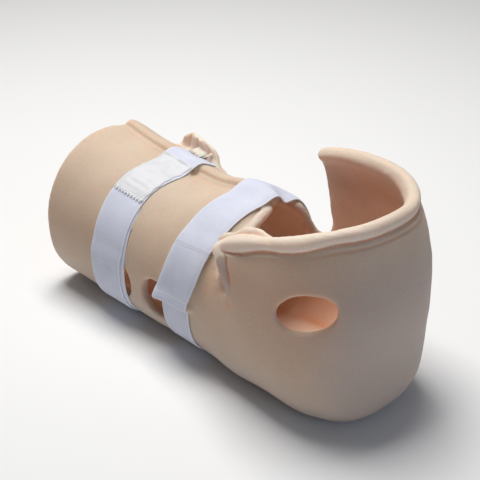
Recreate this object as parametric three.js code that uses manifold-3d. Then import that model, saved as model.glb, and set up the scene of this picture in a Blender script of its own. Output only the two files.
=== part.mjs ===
// Heel offloading boot, lying as it does on a bed with both straps closed.
// One foam piece makes a gutter round the calf and a cup round the foot. Woven straps close it.
// Millimetres. +X points to the sole, -Y is the side where the straps fasten, +Z is up,
// and Z = 0 is the surface that the boot rests on.
import * as THREE from "three";
import { mergeVertices } from "three/addons/utils/BufferGeometryUtils.js";
import Module from "manifold-3d";

const wasm = await Module();
wasm.setup();

// Driving sizes of the foam.
const CALF_X = -196;
const HINGE_X = 41;
const HINGE_Z = 142;
const WALL = 13;
const FLAP_WALL = 10;
const LAP_LIFT = 11;
const EDGE_STEPS = 2;
const BACK_ANGLE = 100;
const NEAR_COLUMNS = 7;
const BACK_COLUMNS = 18;
const FAR_COLUMNS = 5;
const BEAD_RADIUS = 7.5;
const HEM_RADIUS = 6;

// Sections of the foam from the calf end to the rim of the foot cup. Every section is a plane through a
// line across the boot at (x, z), upright across the calf and leaning about the instep in the foot cup.
// lean: tilt of the plane in degrees. half: half width. mid, depth: how far the widest place and the
// back of the foam lie from the line. square: 1 for a round back, less for a squarer one. near, far:
// angle of each edge of the wrap, counted from the back. flare: 0 where the front closes to a round,
// 1 where the side walls run straight. lift: share of the lap that the far flap rides over the near one.
// rise: how far the far wall stands above the near one. pad: foam at the back. steps: stations to the
// next row.
const SECTION_COLUMNS = ["x", "z", "lean", "half", "mid", "depth", "square",
  "near", "far", "flare", "lift", "rise", "pad", "steps"];
const SECTIONS = table(SECTION_COLUMNS, [
  [CALF_X, 156, 0, 77, 81, 159, 0.8, 214, 152, 0, 0.8, 0, 15, 2],
  [-165, 149, 0, 77, 76, 152, 0.79, 215, 153, 0, 0.9, 0, 15, 2],
  [-135, 145, 0, 76, 73, 148, 0.78, 216, 155, 0, 1, 0, 16, 2],
  [-95, 141, 0, 75, 71, 144, 0.77, 216, 156, 0, 1, 0, 17, 2],
  [-50, 139, 0, 75, 70, 142, 0.75, 216, 157, 0, 1, 0, 19, 2],
  [-13, 146, 0, 75, 73, 149, 0.74, 212, 157, 0, 1, 0, 20, 3],
  [30, 149, 0, 76, 74, 153, 0.72, 190, 152, 0, 0.8, 0, 20, 3],
  [HINGE_X, HINGE_Z, 0, 77, 70, 146, 0.72, 162, 128, 0.1, 0, 0, 20, 4],
  [HINGE_X, HINGE_Z, 24, 80, 74, 161, 0.72, 112, 114, 0.9, 0, 10, 20, 3],
  [HINGE_X, HINGE_Z, 40, 84, 76, 188, 0.72, 130, 132, 1, 0, 30, 20, 2],
  [HINGE_X, HINGE_Z, 50, 85, 77, 198, 0.74, 134, 138, 1, 0, 38, 20, 3],
  [HINGE_X, HINGE_Z, 66, 85, 76, 174, 0.78, 140, 144, 1, 0, 40, 20, 3],
  [HINGE_X, HINGE_Z, 90, 82, 74, 160, 0.84, 144, 146, 1, 0, 40, 18, 3],
  [HINGE_X, HINGE_Z, 110, 75, 72, 155, 0.9, 146, 146, 1, 0, 38, 13, 0],
]);
const RISE_BACK = 0.3;
const LEG_PLACES = [0, 7];
const CUP_PLACES = [7, 13];

// Vents through the wall, alike on both sides. of: column that places it, at: its value there, angle:
// counted from the back, along, across: half sizes, tilt: how far the long way slopes up to the sole.
const VENTS = table(["of", "at", "angle", "along", "across", "tilt"], [
  ["x", -92, 80, 20, 20, 0],
  ["x", -34, 80, 20, 20, 0],
  ["lean", 81, 63, 28, 17, 20],
]);

// Ear of foam over the calf strap on the far side, as corners of its outline.
const EAR_BACK = 50;
const EAR_THICK = 9;
const EAR = table(["x", "z"], [
  [-146, 121], [-62, 121], [-66, 135], [-92, 156], [-101, 159], [-125, 157], [-142, 133],
]);

// Driving sizes of the straps. Each table gives the middle line: turn is the angle round the boot from
// the back by way of the far side, x its place, raise how many layers of strap lie under it.
const STRAP_THICK = 2;
const STRAP_GAP = 0.7;
const SUNK_TURNS = [25, 62];
const CUT_TURN = 90;
const FLOOR_GAP = 0.25;
const LAP_END = [157, 203];
const CALF_STRAP_WIDTH = 43;
const UPPER_STRAP_WIDTH = 46;
const LOWER_STRAP_WIDTH = 37;
const LABEL_WIDTH = 40;
const LABEL_THICK = 1;
const STRAP_COLUMNS = ["turn", "x", "raise"];
const CALF_STRAP = table(STRAP_COLUMNS, [
  [-88, -99, 0], [0, -102, 0], [90, -101, 0], [135, -100, 0], [180, -99, 0],
  [205, -103, 0], [256, -102, 0], [270, -103, 1], [328, -106, 1],
]);
const LOWER_STRAP = table(STRAP_COLUMNS, [[-125, 6, 0], [-83, -3, 0], [0, -2, 0], [80, 3, 0]]);
const UPPER_STRAP = table(STRAP_COLUMNS, [
  [40, 5, 1], [80, 6, 1], [98, 7, 0], [180, 9, 0], [215, 8, 0], [230, 7, 1], [254, 3, 1], [273, -5, 1],
]);
const LABEL = table(STRAP_COLUMNS, [[167, -99, 0], [190, -101, 0], [216, -103, 0]]);

const radians = THREE.MathUtils.degToRad;
const clamp = THREE.MathUtils.clamp;
const smooth = THREE.MathUtils.smoothstep;
const lerp = THREE.MathUtils.lerp;

// Rows of numbers as objects with named columns.
function table(columns, rows) {
  return rows.map((row) => Object.fromEntries(columns.map((name, i) => [name, row[i]])));
}

// Value of one column between rows i and i + 1, on a smooth curve through the rows around them.
function between(rows, i, part, column) {
  const at = (k) => rows[clamp(k, 0, rows.length - 1)][column];
  const [a, b, c, d] = [at(i - 1), at(i), at(i + 1), at(i + 2)];
  const t2 = part * part;
  const t3 = t2 * part;
  const bend = (2 * a - 5 * b + 4 * c - d) * t2 + (3 * b - a - 3 * c + d) * t3;
  return b + 0.5 * ((c - a) * part + bend);
}

// Place in the table where a column that grows through the given places has a value.
function placeOf(column, value, [low, high]) {
  for (let n = 0; n < 40; n++) {
    const middle = (low + high) / 2;
    if (sectionAt(middle)[column] < value) low = middle;
    else high = middle;
  }
  return low;
}

// Section at a place in the table, such as 2.5 for half way between its third and fourth rows.
function sectionAt(place) {
  const i = Math.min(Math.floor(place), SECTIONS.length - 1);
  return Object.fromEntries(SECTION_COLUMNS.map((c) => [c, between(SECTIONS, i, place - i, c)]));
}

// Point of a section at an angle from the back of the boot, inset from the outside by a share of the wall.
// lap is the share of the lap's lift there.
function foamPoint(section, degrees, inset, lap = smooth(degrees, 78, 136)) {
  const { x, z, lean, half, mid, depth, square, flare, lift, rise, pad } = section;
  const angle = radians(degrees);
  const front = Math.cos(angle) < 0;
  const sine = Math.sin(angle);
  const power = front ? 1 : square;
  const side = Math.sign(sine) * Math.abs(sine) ** power;
  const along = front ? Math.cos(angle) : Math.cos(angle) ** power;
  const flap = lerp(WALL, FLAP_WALL, (1 - flare) * smooth(Math.abs(degrees), 110, 170));
  const wall = flap * inset;
  const straight = front ? flare * (Math.sign(degrees) - side) : 0;
  const outside = mid + (front ? mid : depth - mid) * along;
  const inside = mid + (front ? mid - wall : depth - mid - pad * inset) * along;
  const q = (front ? lerp(inside, outside, flare) : inside) - lift * LAP_LIFT * lap;
  const turn = radians(lean);
  const raise = rise * smooth(degrees, 20, 120);
  return new THREE.Vector3(
    x + q * Math.sin(turn) - RISE_BACK * raise * smooth(degrees, 80, 140),
    (half - wall) * (side + straight),
    Math.max(z - q * Math.cos(turn) + raise, inset * pad),
  );
}

// Closed thick sheet between two grids of points of the same size, with a rounded edge all round.
function thickSheet(top, under, edgeSteps) {
  const rows = top.length;
  const columns = top[0].length;
  const points = [];
  const faces = [];
  const put = (p) => points.push(p) - 1;
  const quad = (a, b, c, d) => faces.push(a, c, b, a, d, c);
  const topIds = top.map((row) => row.map(put));
  const underIds = under.map((row) => row.map(put));
  for (let i = 0; i + 1 < rows; i++) {
    for (let j = 0; j + 1 < columns; j++) {
      quad(topIds[i][j], topIds[i + 1][j], topIds[i + 1][j + 1], topIds[i][j + 1]);
      quad(underIds[i][j], underIds[i][j + 1], underIds[i + 1][j + 1], underIds[i + 1][j]);
    }
  }
  const rim = [];
  for (let j = 0; j < columns; j++) rim.push([0, j]);
  for (let i = 1; i < rows; i++) rim.push([i, columns - 1]);
  for (let j = columns - 2; j >= 0; j--) rim.push([rows - 1, j]);
  for (let i = rows - 2; i > 0; i--) rim.push([i, 0]);
  const strips = rim.map(([i, j]) => {
    const [m, n] = [clamp(i, 1, rows - 2), clamp(j, 1, columns - 2)];
    const upper = top[i][j];
    const lower = under[i][j];
    const centre = upper.clone().lerp(lower, 0.5);
    const outward = centre.clone().sub(top[m][n].clone().lerp(under[m][n], 0.5));
    outward.setLength(upper.distanceTo(lower) / 2);
    const strip = [topIds[i][j]];
    for (let k = 1; k <= edgeSteps; k++) {
      const turn = (Math.PI * k) / (edgeSteps + 1);
      const p = centre.clone().addScaledVector(upper.clone().sub(centre), Math.cos(turn));
      strip.push(put(p.addScaledVector(outward, Math.sin(turn))));
    }
    strip.push(underIds[i][j]);
    return strip;
  });
  strips.forEach((strip, n) => {
    const next = strips[(n + 1) % strips.length];
    for (let k = 0; k + 1 < strip.length; k++) quad(strip[k], next[k], next[k + 1], strip[k + 1]);
  });
  return new THREE.BufferGeometry().setFromPoints(points).setIndex(faces);
}

// Closed geometry as a solid for joining and cutting, and a solid back as a geometry.
function solid(geometry) {
  const bare = new THREE.BufferGeometry().setAttribute("position", geometry.getAttribute("position"));
  bare.setIndex(geometry.getIndex());
  const merged = mergeVertices(bare, 1e-3);
  const made = new wasm.Mesh({
    numProp: 3,
    vertProperties: new Float32Array(merged.attributes.position.array),
    triVerts: new Uint32Array(merged.index.array),
  });
  return new wasm.Manifold(made);
}

function geometryOf(manifold) {
  const { vertProperties, triVerts } = manifold.getMesh();
  const made = new THREE.BufferGeometry();
  made.setAttribute("position", new THREE.BufferAttribute(new Float32Array(vertProperties), 3));
  made.setIndex(new THREE.BufferAttribute(new Uint32Array(triVerts), 1));
  return made.toNonIndexed();
}

// Foam sheet.
const places = SECTIONS.flatMap((row, i) =>
  Array.from({ length: Math.max(row.steps, 1) }, (_, k) => i + (row.steps ? k / row.steps : 0)));
const spread = (count, from, to) => Array.from({ length: count }, (_, k) => lerp(from, to, k / count));
const foamGrid = (inset) => places.map((place) => {
  const section = sectionAt(place);
  const angles = [
    ...spread(NEAR_COLUMNS, -section.near, -BACK_ANGLE),
    ...spread(BACK_COLUMNS, -BACK_ANGLE, BACK_ANGLE),
    ...spread(FAR_COLUMNS, BACK_ANGLE, section.far),
    section.far,
  ];
  return angles.map((degrees) => foamPoint(section, degrees, inset));
});
const outer = foamGrid(0);
const inner = foamGrid(1);
let foam = solid(thickSheet(outer, inner, EDGE_STEPS));

// Rolled rim of the foot cup and the hems down its two slits, as round rolls along the edge of the sheet.
function roll(points, radius, steps) {
  const ring = Array.from({ length: 8 }, (_, k) =>
    new THREE.Vector2(radius * Math.cos(k * Math.PI / 4), radius * Math.sin(k * Math.PI / 4)));
  const extrudePath = new THREE.CatmullRomCurve3(points);
  return solid(new THREE.ExtrudeGeometry(new THREE.Shape(ring), { steps, extrudePath, bevelEnabled: false }));
}
const last = places.length - 1;
const slitPlace = places.indexOf(8) + 1;
const onEdge = (i, j) => outer[i][j].clone().lerp(inner[i][j], 0.3);
const rimPoints = outer[last].map((_, j) => onEdge(last, j));
foam = foam.add(roll(rimPoints, BEAD_RADIUS, 30));
for (const j of [0, outer[0].length - 1]) {
  const hem = [];
  for (let i = slitPlace; i <= last; i += 2) hem.push(onEdge(i, j));
  hem.push(onEdge(last, j));
  foam = foam.add(roll(hem, HEM_RADIUS, 6));
  const knob = new THREE.SphereGeometry(BEAD_RADIUS + 1, 10, 6).translate(...onEdge(last, j).toArray());
  foam = foam.add(solid(knob));
}

// Vents, flared to a soft lip at both faces.
const ventProfile = [[0, -1], [1.3, -1], [1, -0.2], [1, 0.2], [1.3, 1], [0, 1]];
for (const { of, at, angle, along, across, tilt } of VENTS) {
  const place = placeOf(of, at, of === "x" ? LEG_PLACES : CUP_PLACES);
  for (const degrees of [-angle, angle]) {
    const at0 = foamPoint(sectionAt(place), degrees, 0.5);
    const forward = foamPoint(sectionAt(place + 0.05), degrees, 0.5).sub(at0).normalize();
    const around = foamPoint(sectionAt(place), degrees + 2, 0.5).sub(at0).normalize();
    const out = new THREE.Vector3().crossVectors(forward, around).normalize();
    const level = new THREE.Vector3(0, 0, 1).cross(out).normalize();
    level.applyAxisAngle(out, radians(tilt * Math.sign(degrees)));
    const profile = ventProfile.map(([r, h]) => new THREE.Vector2(r, h));
    const cutter = new THREE.LatheGeometry(profile, 16).scale(along, 1.5 * WALL, across);
    const basis = new THREE.Matrix4().makeBasis(level, out, new THREE.Vector3().crossVectors(level, out));
    foam = foam.subtract(solid(cutter.applyMatrix4(basis.setPosition(at0))));
  }
}

// Ear over the calf strap.
const earShape = new THREE.Shape(EAR.map(({ x, z }) => new THREE.Vector2(x, z)));
const earGeometry = new THREE.ExtrudeGeometry(earShape,
  { depth: EAR_THICK - 4, steps: 1, bevelThickness: 2, bevelSize: 2, bevelOffset: -2, bevelSegments: 1 });
earGeometry.rotateX(Math.PI / 2).translate(0, EAR_BACK + EAR_THICK - 2, 0);

// Point of a strap at a turn round the boot, a distance out from the foam.
function strapPoint(x, turn, out, layers) {
  const section = { ...sectionAt(placeOf("x", x, LEG_PLACES)), flare: 0 };
  const at = (t) => {
    const round = THREE.MathUtils.euclideanModulo(t, 360);
    const lap = round < LAP_END[0] ? smooth(round, 78, 136) : 1 - smooth(round, ...LAP_END);
    return foamPoint(section, round > 180 ? round - 360 : round, 0, lap);
  };
  const along = at(turn + 1).sub(at(turn - 1));
  const outward = new THREE.Vector3(0, along.z, -along.y).normalize();
  const fromBack = Math.abs(THREE.MathUtils.euclideanModulo(turn + 180, 360) - 180);
  const proud = (STRAP_THICK + STRAP_GAP) * smooth(fromBack, ...SUNK_TURNS);
  const rest = proud + layers * (STRAP_THICK + STRAP_GAP);
  const p = at(turn).addScaledVector(outward, rest + out);
  p.z = Math.max(p.z, FLOOR_GAP - out);
  return p;
}

// Band along a strap table, between two distances out from the strap's own outer face and two turns.
function band(rows, width, outs, stepDegrees, turns = [rows[0].turn, rows.at(-1).turn]) {
  const [first, final] = turns;
  const count = Math.ceil((final - first) / stepDegrees);
  const grids = outs.map((out) => Array.from({ length: count + 1 }, (_, n) => {
    const turn = lerp(first, final, n / count);
    const i = Math.max(0, rows.findLastIndex((row) => row.turn <= turn && row !== rows.at(-1)));
    const part = (turn - rows[i].turn) / (rows[i + 1].turn - rows[i].turn);
    const x = between(rows, i, part, "x");
    const layers = lerp(rows[i].raise, rows[i + 1].raise, smooth(part, 0, 1));
    return [0.5, 0.2, -0.2, -0.5].map((share) =>
      strapPoint(x + share * width, turn, out, layers));
  }));
  return solid(thickSheet(grids[0], grids[1], 1));
}
const STRAPS = table(["name", "rows", "width"], [
  ["calf_strap", CALF_STRAP, CALF_STRAP_WIDTH],
  ["foot_strap_lower", LOWER_STRAP, LOWER_STRAP_WIDTH],
  ["foot_strap_upper", UPPER_STRAP, UPPER_STRAP_WIDTH],
]);
const strapSolids = STRAPS.map(({ rows, width }) => band(rows, width, [0, -STRAP_THICK], 7.5));
const slotFor = (rows, width, turns) =>
  band(rows, width + 2 * STRAP_GAP, [STRAP_GAP, -STRAP_THICK - STRAP_GAP], 7, turns);
for (const { rows, width } of STRAPS.slice(0, 2)) {
  foam = foam.subtract(slotFor(rows, width, [-CUT_TURN, CUT_TURN]));
}
foam = foam.add(solid(earGeometry).subtract(slotFor(CALF_STRAP, CALF_STRAP_WIDTH, [105, 160])));
const label = band(LABEL, LABEL_WIDTH, [LABEL_THICK + STRAP_GAP, STRAP_GAP], 7);

const boot = new THREE.Group();
const foamLook = new THREE.MeshStandardMaterial({ color: 0xe9cdb2, roughness: 0.75, metalness: 0 });
const strapLook = new THREE.MeshStandardMaterial({ color: 0xd9dcec, roughness: 0.85, metalness: 0 });
const labelLook = new THREE.MeshStandardMaterial({ color: 0xf2f2f4, roughness: 0.5, metalness: 0 });
const pieces = [["foam_boot", foam, foamLook], ["calf_label", label, labelLook]];
STRAPS.forEach(({ name }, n) => pieces.push([name, strapSolids[n], strapLook]));
for (const [name, body, look] of pieces) {
  const mesh = new THREE.Mesh(geometryOf(body), look);
  mesh.name = name;
  boot.add(mesh);
}

export default boot;
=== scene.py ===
# Heel offloading boot: a moulded foam boot, closed with woven straps and lying on a pale bed top.
import math

import bmesh
import bpy
import numpy as np
from mathutils import Matrix, Quaternion, Vector, noise
from mathutils.bvhtree import BVHTree
from mathutils.kdtree import KDTree


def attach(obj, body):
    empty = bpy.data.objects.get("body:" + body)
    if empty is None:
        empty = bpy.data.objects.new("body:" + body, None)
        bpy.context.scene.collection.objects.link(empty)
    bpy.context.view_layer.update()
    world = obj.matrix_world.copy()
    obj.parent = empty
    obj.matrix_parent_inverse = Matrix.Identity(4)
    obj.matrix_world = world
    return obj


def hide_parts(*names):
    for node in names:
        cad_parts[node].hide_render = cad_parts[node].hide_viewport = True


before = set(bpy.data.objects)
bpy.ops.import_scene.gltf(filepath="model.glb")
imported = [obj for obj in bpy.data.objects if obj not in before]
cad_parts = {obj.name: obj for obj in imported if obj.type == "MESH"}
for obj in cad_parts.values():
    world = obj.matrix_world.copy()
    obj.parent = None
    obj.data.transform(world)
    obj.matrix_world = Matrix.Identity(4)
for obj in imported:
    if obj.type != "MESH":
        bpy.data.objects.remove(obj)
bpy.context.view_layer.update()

# Foam boot. One moulded piece of soft skinned foam: a gutter that wraps the calf, its flaps lapped over
# the shin, and a tall cup round the foot with a rolled rim. Vents are cut through both side walls.
WALL = 13.0
FLAP_WALL = 10.0
FLAP_TURNS = (110, 170)
LAP_LIFT = 11.0
LAP_TURNS = (78, 136)
RISE_TURNS = (20, 120)
RISE_BACK = 0.3
RISE_BACK_TURNS = (80, 140)
SAMPLES = 60
# Sections of the foam, one row each, in millimetres and degrees.
SECTION_COLUMNS = "x z lean half mid depth square near far flare lift rise pad".split()
FOAM_SECTIONS = [
    [-196, 156, 0, 77, 81, 159, 0.8, 214, 152, 0, 0.8, 0, 15],
    [-165, 149, 0, 77, 76, 152, 0.79, 215, 153, 0, 0.9, 0, 15],
    [-135, 145, 0, 76, 73, 148, 0.78, 216, 155, 0, 1, 0, 16],
    [-95, 141, 0, 75, 71, 144, 0.77, 216, 156, 0, 1, 0, 17],
    [-50, 139, 0, 75, 70, 142, 0.75, 216, 157, 0, 1, 0, 19],
    [-13, 146, 0, 75, 73, 149, 0.74, 212, 157, 0, 1, 0, 20],
    [30, 149, 0, 76, 74, 153, 0.72, 190, 135, 0, 0.8, 0, 20],
    [41, 142, 0, 77, 70, 146, 0.72, 162, 119, 0.1, 0, 0, 20],
    [41, 142, 24, 80, 74, 161, 0.72, 112, 113, 0.9, 0, 10, 20],
    [41, 142, 40, 84, 76, 188, 0.72, 117, 132, 1, 0, 30, 20],
    [41, 142, 50, 85, 77, 198, 0.74, 118.5, 138, 1, 0, 38, 20],
    [41, 142, 66, 85, 76, 174, 0.78, 131, 147, 1, 0, 40, 20],
    [41, 142, 90, 82, 74, 160, 0.84, 141, 150, 1, 0, 39, 18],
    [41, 142, 110, 75, 72, 155, 0.9, 146, 151, 1, 0, 36, 13],
]


def smooth_step(value, low, high):
    t = np.clip((value - low) / (high - low), 0, 1)
    return t * t * (3 - 2 * t)


def drawn_out(rows):
    """Rows of numbers drawn out to many rows, on a smooth curve through them."""
    rows = np.array(rows, float)
    held = np.vstack([rows[:1], rows, rows[-1:]])
    t = np.linspace(0, 1, SAMPLES, endpoint=False)[:, None]
    drawn = []
    for i in range(len(rows) - 1):
        a, b, c, d = held[i:i + 4]
        bend = (2 * a - 5 * b + 4 * c - d) * t**2 + (3 * b - a - 3 * c + d) * t**3
        drawn.append(b + 0.5 * ((c - a) * t + bend))
    return np.vstack(drawn + [rows[-1:]])


FOAM_CURVES = drawn_out(FOAM_SECTIONS)
FOAM_PLACES = np.arange(len(FOAM_CURVES)) / SAMPLES


def foam_column(name, place):
    return np.interp(place, FOAM_PLACES, FOAM_CURVES[:, SECTION_COLUMNS.index(name)])


def foam_surface(place, degrees, inset, lap=None, closed=False):
    """Points of the foam at a place along it and an angle from its back, inset by a share of its wall."""
    at = {name: foam_column(name, place) for name in SECTION_COLUMNS}
    flare = np.zeros_like(at["flare"]) if closed else at["flare"]
    lap = smooth_step(degrees, *LAP_TURNS) if lap is None else lap
    angle = np.radians(degrees)
    front = np.cos(angle) < 0
    power = np.where(front, 1, at["square"])
    side = np.sign(np.sin(angle)) * np.abs(np.sin(angle)) ** power
    along = np.where(front, -1, 1) * np.abs(np.cos(angle)) ** power
    wall = inset * (WALL + (FLAP_WALL - WALL) * (1 - flare) * smooth_step(np.abs(degrees), *FLAP_TURNS))
    straight = np.where(front, flare * (np.sign(degrees) - side), 0)
    mid, depth, pad = at["mid"], at["depth"], at["pad"]
    outside = mid + np.where(front, mid, depth - mid) * along
    inside = mid + np.where(front, mid - wall, depth - mid - pad * inset) * along
    q = np.where(front, inside + (outside - inside) * flare, inside) - at["lift"] * LAP_LIFT * lap
    turn = np.radians(at["lean"])
    rise = at["rise"] * smooth_step(degrees, *RISE_TURNS)
    x = at["x"] + q * np.sin(turn) - RISE_BACK * rise * smooth_step(degrees, *RISE_BACK_TURNS)
    y = (at["half"] - wall) * (side + straight)
    z = np.maximum(at["z"] - q * np.cos(turn) + rise, inset * pad)
    return np.stack([x, y, z], -1) / 1000


def linked(name, data):
    piece = bpy.data.objects.new(name, data)
    bpy.context.scene.collection.objects.link(piece)
    return piece


def settle(piece):
    """Applies a piece's modifiers to its mesh."""
    graph = bpy.context.evaluated_depsgraph_get()
    done = bpy.data.meshes.new_from_object(piece.evaluated_get(graph))
    piece.modifiers.clear()
    piece.data = done
    done.name = piece.name


def points_of(mesh):
    flat = np.zeros(len(mesh.vertices) * 3, np.float32)
    mesh.vertices.foreach_get("co", flat)
    return flat.reshape(-1, 3).astype(float)


def normals_of(mesh):
    flat = np.zeros(len(mesh.vertices) * 3, np.float32)
    mesh.vertex_normals.foreach_get("vector", flat)
    return flat.reshape(-1, 3).astype(float)


def put_points(mesh, points):
    mesh.vertices.foreach_set("co", points.astype(np.float32).ravel())
    mesh.update()


class Neighbours:
    """Averages over each vertex's neighbours on one mesh."""

    def __init__(self, mesh):
        pairs = np.zeros(len(mesh.edges) * 2, np.int32)
        mesh.edges.foreach_get("vertices", pairs)
        self.a, self.b = pairs.reshape(-1, 2).T
        self.count = len(mesh.vertices)
        self.degree = np.maximum(np.bincount(np.r_[self.a, self.b], minlength=self.count), 1)

    def mean(self, values):
        at_a = np.bincount(self.a, values[self.b], self.count)
        at_b = np.bincount(self.b, values[self.a], self.count)
        return (at_a + at_b) / self.degree

    def relaxed(self, points, rounds, share=0.5):
        for _ in range(rounds):
            near = np.stack([self.mean(points[:, k]) for k in range(points.shape[1])], -1)
            points = points + share * (near - points)
        return points


def rolled(points, radius):
    """A round roll of foam along a line of points, with its own radius at each, in metres."""
    line = bpy.data.curves.new("roll", "CURVE")
    line.dimensions, line.bevel_depth, line.bevel_resolution, line.use_fill_caps = "3D", 1.0, 3, True
    spline = line.splines.new("POLY")
    spline.points.add(len(points) - 1)
    spline.points.foreach_set("co", np.c_[points, np.ones(len(points))].ravel())
    spline.points.foreach_set("radius", np.broadcast_to(radius, len(points)).astype(float))
    roll = linked("roll", line)
    mesh = bpy.data.meshes.new_from_object(roll.evaluated_get(bpy.context.evaluated_depsgraph_get()))
    bpy.data.objects.remove(roll)
    return mesh


# The sheet itself: an outer and an inner face, joined all round.
SHEET_ROWS, SHEET_COLUMNS = 190, 150
line = foam_surface(FOAM_PLACES, np.zeros_like(FOAM_PLACES), 0)
run = np.r_[0, np.cumsum(np.linalg.norm(np.diff(line, axis=0), axis=1))]
body = bmesh.new()
faces_of = []
for inset in (0, 1):
    face = bmesh.ops.create_grid(body, x_segments=SHEET_ROWS, y_segments=SHEET_COLUMNS, size=0.5)
    flat = np.array([v.co[:2] for v in face["verts"]]) + 0.5
    spot = np.interp(flat[:, 0] * run[-1], run, FOAM_PLACES)
    near, far = foam_column("near", spot), foam_column("far", spot)
    faces_of.append(foam_surface(spot, flat[:, 1] * (near + far) - near, inset))
    for v, p in zip(face["verts"], faces_of[inset]):
        v.co = p
bmesh.ops.bridge_loops(body, edges=[e for e in body.edges if e.is_boundary])
bmesh.ops.recalc_face_normals(body, faces=body.faces)

# Rounded edges at the knee and along both sides, drawn in at the slits and plump at the near flap's front.
EDGE_DRAW = 7.5
SLIT_PLACES = (6.4, 7.4)
EDGE_ROUND = 0.49
PLUMP, PLUMP_AT, PLUMP_WIDE = 0.18, 6.9, 0.35
spots = np.interp(np.linspace(0, run[-1], 160), run, FOAM_PLACES)
sweep = np.linspace(0, 1, 140)
last = FOAM_PLACES[-1]
drawn_in = EDGE_DRAW * smooth_step(spots, *SLIT_PLACES)
knee_near, knee_far = foam_column("near", 0), foam_column("far", 0)
knee_edge = 0 * sweep, sweep * (knee_near + knee_far) - knee_near
near_edge = spots, drawn_in - foam_column("near", spots)
far_edge = spots, foam_column("far", spots) - drawn_in
for spot, degrees in (knee_edge, near_edge, far_edge):
    outer, inner = foam_surface(spot, degrees, 0), foam_surface(spot, degrees, 1)
    plump = PLUMP * np.exp(-(((spot - PLUMP_AT) / PLUMP_WIDE) ** 2)) * (degrees < 0)
    half = np.linalg.norm(outer - inner, axis=1) * (EDGE_ROUND + 0.5 * plump)
    body.from_mesh(rolled(outer + (inner - outer) * (0.5 - plump)[:, None], half))

# One rolled hem, up the near slit, along the rim of the cup and down the far slit, with a knob at its corner.
# Radii and lifts in metres, insets as shares of the wall, draws and turns in degrees.
RIM_INSET, RIM_RADIUS = 0.2, 0.0074
HEM_INSET, HEM_RADIUS = 0.5, 0.0070
HEM_DRAW = 4.5
HEM_ROUNDS = 30
NEAR_HEM, FAR_HEM_FOOT, FAR_HEM_BELOW = (10.35, 12.3), 8.45, 0.3
RIM_FROM, RIM_TO = -148, 149
RIM_LIFT, RIM_DROP = 0.003, 0.007
RIM_WAVES, RIM_WAVE, RIM_SWELL, RIM_TAPER = 7.5, 0.0011, 0.0006, 0.0006
LIFT_PHASE, SWELL_PHASE = 0.9, 4
NEAR_RIM_START, FAR_RIM_START = 11.9, 11.8
NEAR_HALF_TURNS, NEAR_END_TURNS = (0, 50), (-146, -120)
KNOB_RADIUS, KNOB_SHARES = 0.0072, (0.55, 0.45)
near_spots = np.linspace(*NEAR_HEM, 40)
far_spots = np.linspace(FAR_HEM_FOOT, last - FAR_HEM_BELOW, 50)[::-1]
rim_degrees = sweep * (RIM_TO - RIM_FROM) + RIM_FROM
hem_place = np.r_[near_spots, 0 * sweep + last, far_spots]
near_slit, far_slit = HEM_DRAW - foam_column("near", near_spots), foam_column("far", far_spots) - HEM_DRAW
hem_degrees = np.r_[near_slit, rim_degrees, far_slit]
near_rim, far_rim = smooth_step(near_spots, NEAR_RIM_START, last), smooth_step(far_spots, FAR_RIM_START, last)
on_rim = np.r_[near_rim, 0 * sweep + 1, far_rim]
near_half = np.r_[0 * near_spots, smooth_step(-rim_degrees, *NEAR_HALF_TURNS), 0 * far_spots]
near_end = np.r_[0 * near_spots, 1 - smooth_step(rim_degrees, *NEAR_END_TURNS), 0 * far_spots]
wave = np.radians(hem_degrees) * RIM_WAVES
hem_line = foam_surface(hem_place, hem_degrees, HEM_INSET + (RIM_INSET - HEM_INSET) * on_rim)
hem_line[:, 2] += near_half * (RIM_LIFT - RIM_DROP * near_end + RIM_WAVE * np.sin(wave + LIFT_PHASE))
hem_radius = HEM_RADIUS + (RIM_RADIUS - HEM_RADIUS) * on_rim
hem_radius += RIM_SWELL * near_half * np.sin(wave + SWELL_PHASE) - RIM_TAPER * near_end
corner = len(near_spots)
knob = hem_line[corner] * KNOB_SHARES[0] + hem_line[corner - 1] * KNOB_SHARES[1]
for _ in range(HEM_ROUNDS):
    hem_line[1:-1] += 0.25 * (hem_line[:-2] + hem_line[2:]) - 0.5 * hem_line[1:-1]
body.from_mesh(rolled(hem_line, hem_radius))
bmesh.ops.create_icosphere(body, subdivisions=3, radius=KNOB_RADIUS, matrix=Matrix.Translation(knob))

# Fold where the rim doubles over inside its near corner: rows of an angle, a lift and a radius.
NEAR_FOLD = np.array([[-158, 0.5, 5], [-150, 2.5, 5.6], [-142, 4.6, 5.4], [-134, 5, 4.6], [-126, 6.4, 4.8],
                      [-118, 9.4, 5.6], [-110, 10.6, 5.8], [-102, 9, 5.2], [-95, 5, 4.8], [-87, 0, 4.2]])
FOLD_INSET = 0.95
fold_degrees = np.linspace(NEAR_FOLD[0, 0], NEAR_FOLD[-1, 0], 60)
fold_line = foam_surface(0 * fold_degrees + last, fold_degrees, FOLD_INSET)
fold_line[:, 2] += np.interp(fold_degrees, NEAR_FOLD[:, 0], NEAR_FOLD[:, 1]) / 1000
fold_radius = np.interp(fold_degrees, NEAR_FOLD[:, 0], NEAR_FOLD[:, 2]) / 1000
body.from_mesh(rolled(fold_line, fold_radius))

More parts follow.
